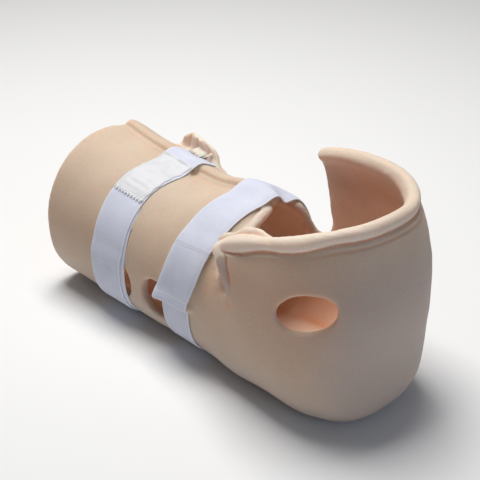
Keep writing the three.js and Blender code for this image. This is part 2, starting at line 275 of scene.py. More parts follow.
# Ear: a turned-up fold of the far flap, which stands on both sides of the calf strap and arches over it.
# Its thickness is in metres, its other sizes in millimetres. A ripple is a height, a place and a width.
# Places of the peak, the ripples and the pleats are shares of the ear's length.
EAR_THICK = 0.007
EAR_FREE, EAR_FOOT_RIPPLE = 0.3, 0.3
EAR_START, EAR_LONG, EAR_Y = -147, 82, 54.5
EAR_LEAN, EAR_NARROWED = 14, 36
EAR_FOOT_Z, EAR_ARCH, EAR_ARCH_X, EAR_ARCH_ENDS = 119, 19, -100, (22, 28)
EAR_PEAK, EAR_PEAK_Z, EAR_FALL_BEFORE, EAR_FALL_AFTER = 0.36, 158.5, 7, 9
EAR_RIPPLES = [(2.6, 0.25, 0.16), (-3.0, 0.62, 0.14)]


def ear_surface(s, h):
    """Points in the middle of the ear, at shares of its length and of its height."""
    foot_x = EAR_START + EAR_LONG * s
    x = foot_x + (EAR_LEAN - EAR_NARROWED * s) * h**1.1
    ripple = sum(high * np.exp(-(((s - at) / wide) ** 2)) for high, at, wide in EAR_RIPPLES)
    foot = EAR_FOOT_Z + EAR_ARCH * (1 - smooth_step(np.abs(foot_x - EAR_ARCH_X), *EAR_ARCH_ENDS))
    before = np.clip((EAR_PEAK - s) / EAR_PEAK, 0, 1)
    after = np.clip((s - EAR_PEAK) / (1 - EAR_PEAK), 0, 1)
    crown = EAR_PEAK_Z - EAR_FALL_BEFORE * before**2 - EAR_FALL_AFTER * after**2
    y = EAR_Y + ripple * (EAR_FOOT_RIPPLE + (1 - EAR_FOOT_RIPPLE) * h)
    return np.stack([x, y, foot + (crown - foot) * h], -1) / 1000


ear_edges = set()
for side in (-1, 1):
    ear = bmesh.ops.create_grid(body, x_segments=40, y_segments=16, size=0.5)
    flat = np.array([v.co[:2] for v in ear["verts"]]) + 0.5
    for v, p in zip(ear["verts"], ear_surface(*flat.T)):
        v.co = p
        v.co.y += side * EAR_THICK / 2
        ear_edges |= {e for e in v.link_edges if e.is_boundary}
bmesh.ops.bridge_loops(body, edges=list(ear_edges))
bmesh.ops.recalc_face_normals(body, faces=body.faces)

foam_mesh = bpy.data.meshes.new("foam_skin")
body.to_mesh(foam_mesh)
body.free()
foam = linked("foam_skin", foam_mesh)

# Vents: flared holes through both side walls, two at the leg and one at the cup on each side.
# Each row is a place along the foam, an angle from its back, half sizes and the slope of the long way.
VENT_PROFILE = [(0, -1), (1.3, -1), (1, -0.2), (1, 0.2), (1.3, 1), (0, 1)]
VENTS = [(3.07, 80, 20, 20, 0), (4.42, 80, 20, 20, 0), (11.62, 63, 28, 17, 20)]
VENT_REACH = 1.5 * WALL / 1000
cutters = bmesh.new()
vent_frames = []
for spot, angle, along, across, tilt in VENTS:
    for side in (-1, 1):
        grid = np.array([spot, spot + 0.05, spot]), np.array([angle, angle, angle + 2 * side]) * side
        middle, ahead, up = foam_surface(grid[0], grid[1], 0.5)
        out = Vector(ahead - middle).cross(Vector(up - middle)).normalized()
        level = Vector((0, 0, 1)).cross(out).normalized()
        level = Quaternion(out, math.radians(tilt * side)) @ level
        turned = Matrix((level, out.cross(level), out)).transposed().to_4x4()
        turned.translation = middle
        vent_frames.append((turned.inverted(), along / 1000, across / 1000))
        profile = [cutters.verts.new((r, 0, h)) for r, h in VENT_PROFILE]
        outline = [cutters.edges.new(pair) for pair in zip(profile, profile[1:])]
        before = set(cutters.verts) - set(profile)
        bmesh.ops.spin(cutters, geom=profile + outline, axis=(0, 0, 1), cent=(0, 0, 0), dvec=(0, 0, 0),
                       angle=2 * math.pi, steps=48, use_merge=True)
        bmesh.ops.remove_doubles(cutters, verts=[v for v in cutters.verts if v not in before], dist=1e-5)
        shell = [v for v in cutters.verts if v not in before]
        bmesh.ops.scale(cutters, verts=shell, vec=(along / 1000, across / 1000, VENT_REACH))
        bmesh.ops.transform(cutters, verts=shell, matrix=turned)
bmesh.ops.recalc_face_normals(cutters, faces=cutters.faces)
cutter_mesh = bpy.data.meshes.new("cutters")
cutters.to_mesh(cutter_mesh)
cutters.free()
cutter = linked("cutters", cutter_mesh)

# All of it grown together into one skin, with the vents cut through it.
FOAM_VOXEL = 0.0026
FOAM_SMOOTH_ROUNDS = 3
for step in ("joined", "skin"):
    remesh = foam.modifiers.new(step, "REMESH")
    remesh.mode, remesh.voxel_size = "VOXEL", FOAM_VOXEL
    if step == "joined":
        holes = foam.modifiers.new("holes", "BOOLEAN")
        holes.object, holes.operation, holes.solver = cutter, "DIFFERENCE", "MANIFOLD"
settle(foam)
bpy.data.objects.remove(cutter)
foam_mesh = foam.data
put_points(foam_mesh, Neighbours(foam_mesh).relaxed(points_of(foam_mesh), FOAM_SMOOTH_ROUNDS))


def nearest_on(line, points):
    """For each point, the distance to a line of points, the number of the nearest one and its place."""
    tree = KDTree(len(line))
    for n, p in enumerate(line):
        tree.insert(p, n)
    tree.balance()
    found = [tree.find(p) for p in points]
    return np.array([f[2] for f in found]), np.array([f[1] for f in found]), np.array([f[0] for f in found])


# How far out of the wall, how squarely facing out, and how far in from the hem a crease is pressed.
CREASE_OUT, CREASE_FACING, CREASE_IN = (-0.004, 0.001), (0.0, 0.4), (0.0, 0.003)


def hem_crease(line, outward, inward, at, wide, deep, weight=1.0):
    """Presses a crease into the foam's outer face, on the inward side of a hem along a line of points."""
    points, facing = points_of(foam_mesh), normals_of(foam_mesh)
    far_off, index, spot = nearest_on(line, points)
    across = points - spot
    press = deep * np.exp(-(((far_off - np.broadcast_to(at, len(line))[index]) / wide) ** 2))
    press *= smooth_step((across * outward[index]).sum(1), *CREASE_OUT)
    press *= smooth_step((facing * outward[index]).sum(1), *CREASE_FACING)
    press *= smooth_step((across * inward[index]).sum(1), *CREASE_IN)
    press *= np.broadcast_to(weight, len(line))[index]
    put_points(foam_mesh, points - facing * press[:, None])


def wall_ways(spot, degrees, on_place, on_degrees):
    """The way out of the foam's wall at points along an edge, and the way from the edge into the wall."""
    outer, inner = foam_surface(spot, degrees, 0), foam_surface(spot, degrees, 1)
    into = foam_surface(spot + on_place, degrees + on_degrees, 0) - outer
    return [way / np.linalg.norm(way, axis=1, keepdims=True) for way in (outer - inner, into)]


def finer(values, count):
    """Rows of values, drawn out evenly to a greater count."""
    old, new = np.linspace(0, 1, len(values)), np.linspace(0, 1, count)
    return np.stack([np.interp(new, old, column) for column in np.transpose(values)], -1)


def made_finer(close):
    """Splits the foam's faces where its vertices are close to something, and settles the new ones."""
    work = bmesh.new()
    work.from_mesh(foam_mesh)
    near_by = [e for e in work.edges if close[e.verts[0].index] and close[e.verts[1].index]]
    made = bmesh.ops.subdivide_edges(work, edges=near_by, cuts=1, use_grid_fill=True)
    bmesh.ops.triangulate(work, faces=[f for f in work.faces if len(f.verts) > 4])
    work.verts.index_update()
    moved = {v.index for e in near_by if e.is_valid for v in e.verts}
    moved |= {v.index for v in made["geom_inner"] if isinstance(v, bmesh.types.BMVert)}
    work.to_mesh(foam_mesh)
    work.free()
    loose = np.zeros(len(foam_mesh.vertices))
    loose[list(moved)] = 1
    points = points_of(foam_mesh)
    put_points(foam_mesh, points + loose[:, None] * (Neighbours(foam_mesh).relaxed(points, 3) - points))


# Crease beside the rolled hem, and a shallow second step below the rim round the sole.
FINE_REACHES = (0.018, 0.0105)
HEM_CREASE_AT, RIM_CREASE_OFF = 0.0096, 0.001
CREASE_DEEP, CREASE_WIDE = 0.0022, 0.0013
STEP_AT, STEP_WIDE, STEP_DEEP = 0.0135, 0.0012, 0.0007
EAR_PLEATS = (0.26, 0.5, 0.74)
LIP_ENDS, FLAP_ENDS = (0, 6.6), (6.2, 7.6)
INTO_PLACE, INTO_DEGREES = 0.3, 8
CREASE_FADES, CREASE_LAST_TURNS, CORNER_SHARES = (40, 60), (128, 138), (0.02, 0.999)
SOLE_TURNS = (40, 80)
fine = 1500
lip_spots = np.linspace(*LIP_ENDS, 500)
lip = foam_surface(lip_spots, foam_column("far", lip_spots), 0.5)
flap_spots = np.linspace(*FLAP_ENDS, 300)
flap_edge = EDGE_DRAW * smooth_step(flap_spots, *SLIT_PLACES) - foam_column("near", flap_spots)
flap = foam_surface(flap_spots, flap_edge, 0.5)
pleat_heights = np.linspace(EAR_FREE, 1, 80)
pleats = [ear_surface(np.full(80, s), pleat_heights) - [0, EAR_THICK / 2, 0] for s in EAR_PLEATS]
creased = np.vstack([finer(hem_line, fine), lip, flap, *pleats])
for reach in FINE_REACHES:
    made_finer(nearest_on(creased, points_of(foam_mesh))[0] < reach)
around = Neighbours(foam_mesh)
on_place = np.r_[0 * near_spots, 0 * sweep - INTO_PLACE, 0 * far_spots]
on_degrees = np.r_[0 * near_spots + INTO_DEGREES, 0 * sweep, 0 * far_spots - INTO_DEGREES]
hem_out, hem_in = wall_ways(hem_place, hem_degrees, on_place, on_degrees)
hem_line, hem_out, hem_in = finer(hem_line, fine), finer(hem_out, fine), finer(hem_in, fine)
crease_at = hem_radius + RIM_CREASE_OFF + (HEM_CREASE_AT - HEM_RADIUS - RIM_CREASE_OFF) * (1 - on_rim)
beside = finer(np.c_[crease_at, np.where(on_rim == 1, hem_degrees, 180), on_rim], fine)
crease_at, turn_on_rim, on_rim = beside.T
along_hem = np.arange(fine)
pressed = smooth_step(along_hem, 0, CREASE_FADES[0]) * smooth_step(along_hem[::-1], 0, CREASE_FADES[1])
pressed *= 1 - (on_rim > CORNER_SHARES[0]) * (on_rim < CORNER_SHARES[1]) * (along_hem < fine / 2)
pressed *= 1 - smooth_step(-turn_on_rim, *CREASE_LAST_TURNS)
hem_crease(hem_line, hem_out, hem_in, crease_at, CREASE_WIDE, CREASE_DEEP, pressed)
sole = 1 - smooth_step(np.abs(turn_on_rim), *SOLE_TURNS)
hem_crease(hem_line, hem_out, hem_in, STEP_AT, STEP_WIDE, STEP_DEEP, sole)

# Crease beside the fold inside the rim's near corner.
FOLD_CREASE_OFF = 0.0004
FOLD_OUT, FOLD_IN = (0.2, -0.45, 0.87), (0, -1, 0)
fold_count = 300
fold_out = np.tile(Vector(FOLD_OUT), (fold_count, 1))
fold_in = np.tile(Vector(FOLD_IN), (fold_count, 1))
fold_line = finer(fold_line, fold_count)
fold_at = finer(fold_radius[:, None], fold_count)[:, 0] + FOLD_CREASE_OFF
hem_crease(fold_line, fold_out, fold_in, fold_at, CREASE_WIDE, CREASE_DEEP)

# Creases at the lip of the far flap, where no strap crosses it, and at the near flap's front edge.
STRAPS_AT, STRAP_CLEAR = (-0.1, 0.008), (0.022, 0.03)
LIP_CREASE_AT, LIP_CREASE_WIDE, LIP_CREASE_DEEP = 0.0066, 0.0020, 0.0026
FLAP_CREASE_AT, FLAP_CREASE_WIDE, FLAP_CREASE_DEEP = 0.0080, 0.0016, 0.0014
FLAP_CREASE_FADES = (7.0, 7.4)
lip_out, lip_in = wall_ways(lip_spots, foam_column("far", lip_spots), 0, 6)
bare = 1
for strap_x in STRAPS_AT:
    bare = bare * smooth_step(np.abs(lip[:, 0] - strap_x), *STRAP_CLEAR)
hem_crease(lip, lip_out, lip_in, LIP_CREASE_AT, LIP_CREASE_WIDE, LIP_CREASE_DEEP, bare)
flap_out, flap_in = wall_ways(flap_spots, flap_edge, 0, 6)
upper_flap = 1 - smooth_step(flap_spots, *FLAP_CREASE_FADES)
hem_crease(flap, flap_out, flap_in, FLAP_CREASE_AT, FLAP_CREASE_WIDE, FLAP_CREASE_DEEP, upper_flap)

# Dimple at the foot of each slit, pleats down the ear, a dish round each vent, and slow waves all over.
# Each dimple is a place along the foam, an angle, a depth and a width, with a shallow ring below it.
DIMPLES = [(8.9, -113.0, 0.0040, 0.009), (8.1, 108.0, 0.0040, 0.009)]
RING_AT, RING_WIDE, RING_DEEP, RING_BELOW = 0.0095, 0.0018, 0.0012, (-0.002, 0.006)
PLEAT_DEEP, PLEAT_WIDE = 0.0016, 0.0020
DISH_AT, DISH_WIDE, DISH_DEEP = 1.1, 0.38, 0.0042
DISH_LEAST, DISH_LOW, DISH_OUTER = 0.35, (-0.5, 0.9), (0.0, 0.006)
VENT_DEPTH = 0.03
WAVES = [(17.0, 0.0008), (46.0, 0.00035)]
shape, facing = points_of(foam_mesh), normals_of(foam_mesh)
for place, degrees, deep, wide in DIMPLES:
    foot = foam_surface(np.array([place]), np.array([degrees]), 0)
    foot_out, _ = wall_ways(np.array([place]), np.array([degrees]), 0, 2)
    off = np.linalg.norm(shape - foot, axis=1)
    below = smooth_step(foot[0, 2] - shape[:, 2], *RING_BELOW)
    ring = RING_DEEP * below * np.exp(-(((off - RING_AT) / RING_WIDE) ** 2))
    press = deep * np.exp(-((off / wide) ** 2)) + ring
    shape = shape - foot_out * press[:, None]
for pleat in pleats:
    press = PLEAT_DEEP * np.exp(-((nearest_on(pleat, shape)[0] / PLEAT_WIDE) ** 2))
    shape = shape + np.outer(press, [0, 1, 0])
for inverse, along, across in vent_frames:
    local = np.c_[shape, np.ones(len(shape))] @ np.array(inverse).T
    u, v = local[:, 0] / along, local[:, 1] / across
    v = v * np.sign((np.array(inverse) @ [0, 0, 1, 0])[1])
    dish = np.exp(-(((np.hypot(u, v) - DISH_AT) / DISH_WIDE) ** 2))
    dish *= DISH_LEAST + (1 - DISH_LEAST) * smooth_step(-v, *DISH_LOW)
    dish *= smooth_step(local[:, 2], *DISH_OUTER) * (np.abs(local[:, 2]) < VENT_DEPTH)
    shape = shape - (DISH_DEEP * dish)[:, None] * np.array(inverse)[2, :3]
for scale, height in WAVES:
    lump = np.array([noise.noise(Vector(p) * scale) for p in shape])
    shape = shape + facing * (height * lump)[:, None]
shape[:, 2] = np.maximum(shape[:, 2], 0)
put_points(foam_mesh, shape)

# How much of each tint the skin takes; all of them are painted light and shade. Creases take a warm painted
# shade, by how far the foam lies below its own relaxed surface. The inside takes a lighter, warm painted
# glow, and the steep walls a redder painted shade. The rim, the ear and the edges take painted light, and the
# lowest parts, the sole and the near slit's hem take a grey painted shade.
PAINTED_CREASE_SHADE_FULL = 0.0006
INSIDE_FROM = (0.005, 0.011)
# Facings and heights of the painted redder shade on the steep walls.
STEEP, STEEP_HEIGHTS = (0.05, 0.75), (0.02, 0.13)
SOLE_FACING, SOLE_SPARED = (0.4, 0.95), 0.7
RIM_SHARE, RIM_REACH, SLIT_REACH = 0.99, (0.0085, 0.012), (0.0085, 0.0105)
FAR_RIM, FAR_RIM_SPARED = (-0.07, 0.02), 0.5
EAR_REACH, EAR_SPARED = (0.8 * EAR_THICK, 1.3 * EAR_THICK), 0.55
EDGE_REACH, EDGE_SPARED, FLAP_EDGE_TO = (0.006, 0.0095), 0.4, 7.1
# Heights of the painted low shade, and the facings and heights of the painted shade on the sole's side.
LOW_HEIGHTS, SOLE_PAINTED_SHADE, SOLE_PAINTED_SHADE_FACING, SOLE_PAINTED_SHADE_HEIGHTS = (0.0, 0.075), 0.9, (0.3, 0.95), (0.13, 0.19)
shape, facing = points_of(foam_mesh), normals_of(foam_mesh)
# Painted crease shade: hollows below the relaxed surface are tinted warm orange, where bounced light and
# shade fall.
sunk = ((around.relaxed(shape, 14) - shape) * facing).sum(1)
painted_crease_shade = around.relaxed(np.clip(sunk / PAINTED_CREASE_SHADE_FULL, 0, 1)[:, None], 3)[:, 0]
# Painted light: the inner face is tinted lighter and warmer, as the light bounced round inside the boot, but
# not at the edges.
off_outer, _, _ = nearest_on(faces_of[0], shape)
off_inner, _, _ = nearest_on(faces_of[1], shape)
inside = around.relaxed(smooth_step(off_outer - off_inner, *INSIDE_FROM)[:, None], 2)[:, 0]
# Painted shade: steep walls are tinted darker and redder, where less light falls, and less so on the sole's
# side.
painted_wall_shade = (1 - smooth_step(facing[:, 2], *STEEP)) * smooth_step(shape[:, 2], *STEEP_HEIGHTS)
painted_wall_shade *= 1 - SOLE_SPARED * smooth_step(facing[:, 0], *SOLE_FACING)
# Painted light: the rim bead is tinted paler, as the light that it catches, less so on the far side.
rim_part = on_rim > RIM_SHARE
painted_light = 1 - smooth_step(nearest_on(hem_line[rim_part], shape)[0], *RIM_REACH)
# Painted shade: the near slit's hem is tinted grey, as it lies in shade under the knob.
slit_part = ~rim_part & (along_hem < fine / 2)
painted_slit_shade = 1 - smooth_step(nearest_on(hem_line[slit_part], shape)[0], *SLIT_REACH)
painted_wall_shade *= 1 - painted_light
painted_light *= 1 - FAR_RIM_SPARED * smooth_step(shape[:, 1], *FAR_RIM)
# The ear, the fold and the near flap's edge take the painted light too, and lose the painted shade.
ear_spots = np.meshgrid(np.linspace(0, 1, 60), np.linspace(EAR_FREE, 1, 30))
off_ear = nearest_on(ear_surface(*ear_spots).reshape(-1, 3), shape)[0]
on_ear = 1 - smooth_step(off_ear, *EAR_REACH)
off_edge = nearest_on(np.vstack([fold_line, flap[flap_spots < FLAP_EDGE_TO]]), shape)[0]
on_edge = 1 - smooth_step(off_edge, *EDGE_REACH)
for bright, spared in ((on_ear, EAR_SPARED), (on_edge, EDGE_SPARED)):
    painted_light = np.maximum(painted_light, bright)
    painted_wall_shade *= 1 - bright
    painted_crease_shade *= 1 - spared * bright
inside *= 1 - on_edge
# Painted shade: the lowest parts and the sole's side are tinted grey, darker towards the bed.
sole_face = smooth_step(facing[:, 0], *SOLE_PAINTED_SHADE_FACING)
sole_face *= 1 - smooth_step(shape[:, 2], *SOLE_PAINTED_SHADE_HEIGHTS)
low_part = 1 - smooth_step(shape[:, 2], *LOW_HEIGHTS)
painted_low_shade = np.maximum(low_part, SOLE_PAINTED_SHADE * sole_face) * (1 - inside)
painted_low_shade = np.maximum(painted_low_shade, painted_slit_shade * (1 - painted_light))
# Each painted tint's attribute and values, the share that it takes at most, and its colour.
FOAM_TINTS = [
    ("painted_wall_shade", painted_wall_shade, 0.7, (0.60, 0.385, 0.28, 1)),
    ("painted_low_shade", painted_low_shade, 0.55, (0.41, 0.35, 0.345, 1)),
    ("painted_light", painted_light, 0.75, (0.86, 0.75, 0.64, 1)),
    ("inside", inside, 0.8, (0.86, 0.63, 0.49, 1)),
    ("painted_crease_shade", painted_crease_shade, 1.0, (0.74, 0.33, 0.165, 1)),
]
for name, values, _, _ in FOAM_TINTS:
    foam_mesh.attributes.new(name, "FLOAT", "POINT").data.foreach_set("value", values.astype(np.float32))
foam_mesh.polygons.foreach_set("use_smooth", [True] * len(foam_mesh.polygons))


def set_inputs(tree, node, **inputs):
    """Sets a node's inputs, each to a value or to another node's output."""
    for name, value in inputs.items():
        socket = node.inputs[int(name[1:])] if name[0] == "_" else node.inputs[name.replace("_", " ")]
        if isinstance(value, bpy.types.NodeSocket):
            tree.links.new(value, socket)
        else:
            socket.default_value = value


def add_node(tree, kind, settings=None, **inputs):
    """A shader node with its settings and inputs."""
    node = tree.nodes.new("ShaderNode" + kind)
    for name, value in (settings or {}).items():
        setattr(node, name, value)
    set_inputs(tree, node, **inputs)
    return node


def attribute(tree, name):
    return add_node(tree, "Attribute", {"attribute_name": name}).outputs["Fac"]


def maths(tree, operation, first, second=0.5):
    return add_node(tree, "Math", {"operation": operation}, _0=first, _1=second).outputs[0]


def ranged(tree, value, low, high, first=0.0, final=1.0):
    """A value between low and high, mapped to between first and final."""
    ends = {"From_Min": low, "From_Max": high, "To_Min": first, "To_Max": final}
    return add_node(tree, "MapRange", Value=value, **ends).outputs[0]


def mixed(tree, share, under, over, blend="MIX"):
    """A colour laid over another by a share."""
    settings = {"data_type": "RGBA", "blend_type": blend}
    return add_node(tree, "Mix", settings, _0=share, _6=under, _7=over).outputs[2]


def two_tone(tree, share, low, high, places=(0.0, 1.0)):
    """A colour between two, by a share that is read between two places."""
    ramp = add_node(tree, "ValToRGB", Fac=share)
    for element, place, colour in zip(ramp.color_ramp.elements, places, (low, high)):
        element.position = place
        element.color = colour
    return ramp.outputs["Color"]


def bumped(tree, *layers):
    """The normal of a face with layers of bumps, each with its height, strength and depth."""
    under = {}
    for height, strength, depth in layers:
        bump = add_node(tree, "Bump", Height=height, Strength=strength, Distance=depth, **under)
        under = {"Normal": bump.outputs["Normal"]}
    return under["Normal"]


def new_finish(name):
    """An empty material, its tree and its shader."""
    finish = bpy.data.materials.new(name)
    finish.use_nodes = True
    return finish, finish.node_tree, finish.node_tree.nodes["Principled BSDF"]


foam_finish, tree, shader = new_finish("skinned_foam")
place = add_node(tree, "TexCoord").outputs["Object"]
blotch = add_node(tree, "TexNoise", Vector=place, Scale=22.0, Detail=4.0, Roughness=0.6).outputs["Fac"]
grain = add_node(tree, "TexNoise", Vector=place, Scale=650.0, Detail=3.0, Roughness=0.6).outputs["Fac"]
cells = add_node(tree, "TexVoronoi", Vector=place, Scale=900.0).outputs["Distance"]
skin = two_tone(tree, blotch, (0.60, 0.46, 0.345, 1), (0.645, 0.51, 0.395, 1), (0.3, 0.7))
# The painted light and shade tints, each laid over the skin's own colour by its attribute.
for name, _, share, colour in FOAM_TINTS:
    skin = mixed(tree, maths(tree, "MULTIPLY", attribute(tree, name), share), skin, colour)
set_inputs(
    tree, shader,
    Base_Color=mixed(tree, 1.0, skin, ranged(tree, grain, 0.3, 0.7, 0.93, 1.04), "MULTIPLY"),
    Roughness=ranged(tree, blotch, 0.3, 0.7, 0.56, 0.68),
    Normal=bumped(tree, (cells, 0.18, 0.0003), (grain, 0.35, 0.0004)),
    Specular_IOR_Level=0.3,
    Subsurface_Weight=0.6,
    Subsurface_Radius=(1.0, 0.42, 0.22),
    Subsurface_Scale=0.010,
)
foam_mesh.materials.clear()
foam_mesh.materials.append(foam_finish)
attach(foam, "root")
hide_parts("foam_boot")

# Calf strap. Woven loop tape, brushed to a soft nap on its face and wound round the foam.
# It goes all the way round and laps over its own start on the near side.
# A strap's path is rows of a turn round the boot, a place along it and the layers of strap beneath.
STRAP_THICK = 2.0
STRAP_GAP = 0.7
STRAP_HUG = 0.7
FLOOR_GAP = 0.25
SUNK_TURNS = (25, 62)
LAP_END = (156, 180)
LEG_LAST_ROW = 7
TAPE_THICK = 1.5
TAPE_OUT = -0.5
TAPE_PITCH = 1.5
EDGE_DIP, EDGE_DIP_FROM = 0.6, 0.8
SEAM_DIP, SEAM_WIDE = 0.2, 0.9
FAR_FROM_SEAM = 50.0
BEVEL_SHARE = 0.00035
CALF_STRAP_WIDTH = 43.0
CALF_STRAP = [
    [-172, -100.3, -0.85], [-150, -103, -0.85], [-128, -101, -0.85], [-104, -99.5, -0.85],
    [-88, -99, 0], [0, -102, 0], [90, -101, 0], [135, -100, 0], [180, -99, 0],
    [205, -103, 0], [256, -102, 0], [270, -103, 1], [328, -106, 1],
]


def strap_surface(x, turn, out, layers):
    """Points on a strap at a turn round the boot, a distance out from its own face, in millimetres."""
    leg = slice(0, LEG_LAST_ROW * SAMPLES + 1)
    where = np.interp(x, FOAM_CURVES[leg, 0], FOAM_PLACES[leg])

    def at(t):
        whole = np.mod(t, 360)
        lap = np.where(whole < LAP_END[0], smooth_step(whole, *LAP_TURNS), 1 - smooth_step(whole, *LAP_END))
        return foam_surface(where, np.where(whole > 180, whole - 360, whole), 0, lap, closed=True) * 1000

    along = at(turn + 1) - at(turn - 1)
    outward = np.stack([0 * turn, along[..., 2], -along[..., 1]], -1)
    outward /= np.linalg.norm(outward, axis=-1, keepdims=True)
    from_back = np.abs(np.mod(turn + 180, 360) - 180)
    rest = (STRAP_THICK + STRAP_GAP) * (smooth_step(from_back, *SUNK_TURNS) + layers) + out
    p = at(turn) + outward * rest[..., None]
    p[..., 2] = np.maximum(p[..., 2], FLOOR_GAP - out)
    return p


def path_at(rows, turn):
    """Place along the boot and layers beneath, at turns along a strap's rows of (turn, x, layers)."""
    rows = np.array(rows, float)
    drawn = drawn_out(rows)
    spot = np.interp(turn, rows[:, 0], np.arange(len(rows)))
    i = np.clip(spot.astype(int), 0, len(rows) - 2)
    x = np.interp(spot, np.arange(len(drawn)) / SAMPLES, drawn[:, 1])
    layers = rows[i, 2] + (rows[i + 1, 2] - rows[i, 2]) * smooth_step(spot - i, 0, 1)
    return x, layers


def woven_band(name, rows, width, thick, pitch, out, seam_turns=(), shaped=None):
    """A band of cloth along a strap's rows: a grid laid on the boot, with its length and width as UV,
    and each vertex's distance from the nearest edge and from the nearest sewn line across it."""
    first, last = rows[0][0], rows[-1][0]
    reach = np.linspace(first, last, 400)
    x, layers = path_at(rows, reach)
    line = strap_surface(x, reach, np.full_like(x, out), layers)
    run = np.r_[0, np.cumsum(np.linalg.norm(np.diff(line, axis=0), axis=1))]
    long_steps, wide_steps = int(run[-1] / pitch), int(width / pitch)
    cloth = bmesh.new()
    bmesh.ops.create_grid(cloth, x_segments=long_steps, y_segments=wide_steps, size=0.5)
    flat = np.array([v.co[:2] for v in cloth.verts]) + 0.5
    turn = np.interp(flat[:, 0] * run[-1], run, reach)
    x, layers = path_at(rows, turn)
    lie = out - STRAP_HUG * layers - EDGE_DIP * smooth_step(np.abs(2 * flat[:, 1] - 1), EDGE_DIP_FROM, 1)
    side = np.zeros_like(lie)
    if shaped:
        raised, side = shaped(flat[:, 0] * run[-1], flat[:, 1], turn, run[-1])
        lie = lie + raised
    from_edges = (0.5 - np.abs(flat - 0.5)) * (run[-1], width)
    selvedge = from_edges.min(1)
    seam = np.full_like(lie, FAR_FROM_SEAM)
    for at in seam_turns:
        off = flat[:, 0] * run[-1] - np.interp(at, reach, run)
        seam = np.where(np.abs(off) < np.abs(seam), off, seam)
    lie = lie - SEAM_DIP * np.exp(-((seam / SEAM_WIDE) ** 2))
    points = strap_surface(x + (flat[:, 1] - 0.5) * width + side, turn, lie, layers) / 1000
    layer_of = [cloth.verts.layers.float.new(layer) for layer in ("selvedge", "seam")]
    for v, p, *off in zip(cloth.verts, points, selvedge / 1000, seam / 1000):
        v.co = p
        v[layer_of[0]], v[layer_of[1]] = off
    cloth.verts.index_update()
    laid = cloth.loops.layers.uv.new("cloth")
    for face in cloth.faces:
        for loop in face.loops:
            loop[laid].uv = flat[loop.vert.index] * (run[-1] / 1000, width / 1000)
    mesh = bpy.data.meshes.new(name)
    cloth.to_mesh(mesh)
    cloth.free()
    piece = linked(name, mesh)
    body = piece.modifiers.new("thickness", "SOLIDIFY")
    body.thickness, body.offset = thick / 1000, -1
    round_edge = piece.modifiers.new("edge", "BEVEL")
    round_edge.width, round_edge.segments = thick * BEVEL_SHARE, 2
    round_edge.limit_method, round_edge.angle_limit = "ANGLE", math.radians(55)
    settle(piece)
    piece.data.polygons.foreach_set("use_smooth", [True] * len(piece.data.polygons))
    return piece, run[-1] / 1000


BED_CLEAR, BED_REACH = 0.0003, 0.007
SWELL_REACH, SWELL_ROUNDS, SWELL_FACING = 0.012, 7, -0.3
VENT_MARGIN = 1.5
LEG_MIDDLE_Z = 0.075


def bed_in(cloth_piece):
    """Lets the foam swell up to a strap that lies over it, and presses it in where the strap would cut it."""
    cloth = cloth_piece.data
    points = points_of(cloth)
    tree = BVHTree.FromPolygons([Vector(p) for p in points], [tuple(p.vertices) for p in cloth.polygons])
    shape, facing = points_of(foam_mesh), normals_of(foam_mesh)
    low, high = points.min(0) - BED_REACH, points.max(0) + BED_REACH
    within = np.nonzero(((shape > low) & (shape < high)).all(1))[0]
    swell = np.zeros(len(shape))
    for n in within:
        hit, out, _, gap = tree.ray_cast(Vector(shape[n]), Vector(facing[n]), SWELL_REACH)
        if hit is not None and gap > BED_CLEAR and out.dot(Vector(facing[n])) < SWELL_FACING:
            swell[n] = gap - BED_CLEAR
    for inverse, along, across in vent_frames:
        local = np.c_[shape, np.ones(len(shape))] @ np.array(inverse).T
        at_vent = np.hypot(local[:, 0] / along, local[:, 1] / across) < VENT_MARGIN
        swell[at_vent & (np.abs(local[:, 2]) < VENT_DEPTH)] = 0
    soft = swell
    for _ in range(SWELL_ROUNDS):
        soft = np.maximum(swell, around.relaxed(soft[:, None], 1)[:, 0])
    shape = shape + facing * soft[:, None]
    for n in within:
        at = Vector(shape[n])
        spot, out, _, gap = tree.find_nearest(at, BED_REACH)
        if spot is None:
            continue
        depth = (at - spot).dot(out)
        if depth >= 0 and gap >= BED_CLEAR:
            continue
        over = Vector(facing[n])
        way = -over if over.dot(Vector((0, at.y, at.z - LEG_MIDDLE_Z))) > 0 else over
        hit = tree.ray_cast(at, way, BED_REACH)[0] if depth < 0 else None
        if hit is not None:
            shape[n] = hit + way * BED_CLEAR
        else:
            shape[n] = spot + (out if depth >= 0 else way) * BED_CLEAR
    put_points(foam_mesh, shape)


calf_strap, calf_length = woven_band("calf_strap_tape", CALF_STRAP, CALF_STRAP_WIDTH, TAPE_THICK, TAPE_PITCH,
                                     TAPE_OUT, seam_turns=(-167, 271, 322))
bed_in(calf_strap)


def sewn_dashes(tree, off, along, pitch):
    """How much a row of stitches covers a place: off is the distance from the row, along runs with it."""
    row = ranged(tree, maths(tree, "ABSOLUTE", off), 0.0003, 0.0006, 1.0, 0.0)
    dash = maths(tree, "SINE", maths(tree, "MULTIPLY", along, 2 * math.pi / pitch))
    return maths(tree, "MULTIPLY", row, ranged(tree, dash, -0.6, -0.1))


def fine_ribs(tree, across, **inputs):
    """Fine parallel ribs of a weave, across one way of the cloth."""
    return add_node(tree, "TexWave", {"bands_direction": across}, **inputs).outputs["Fac"]


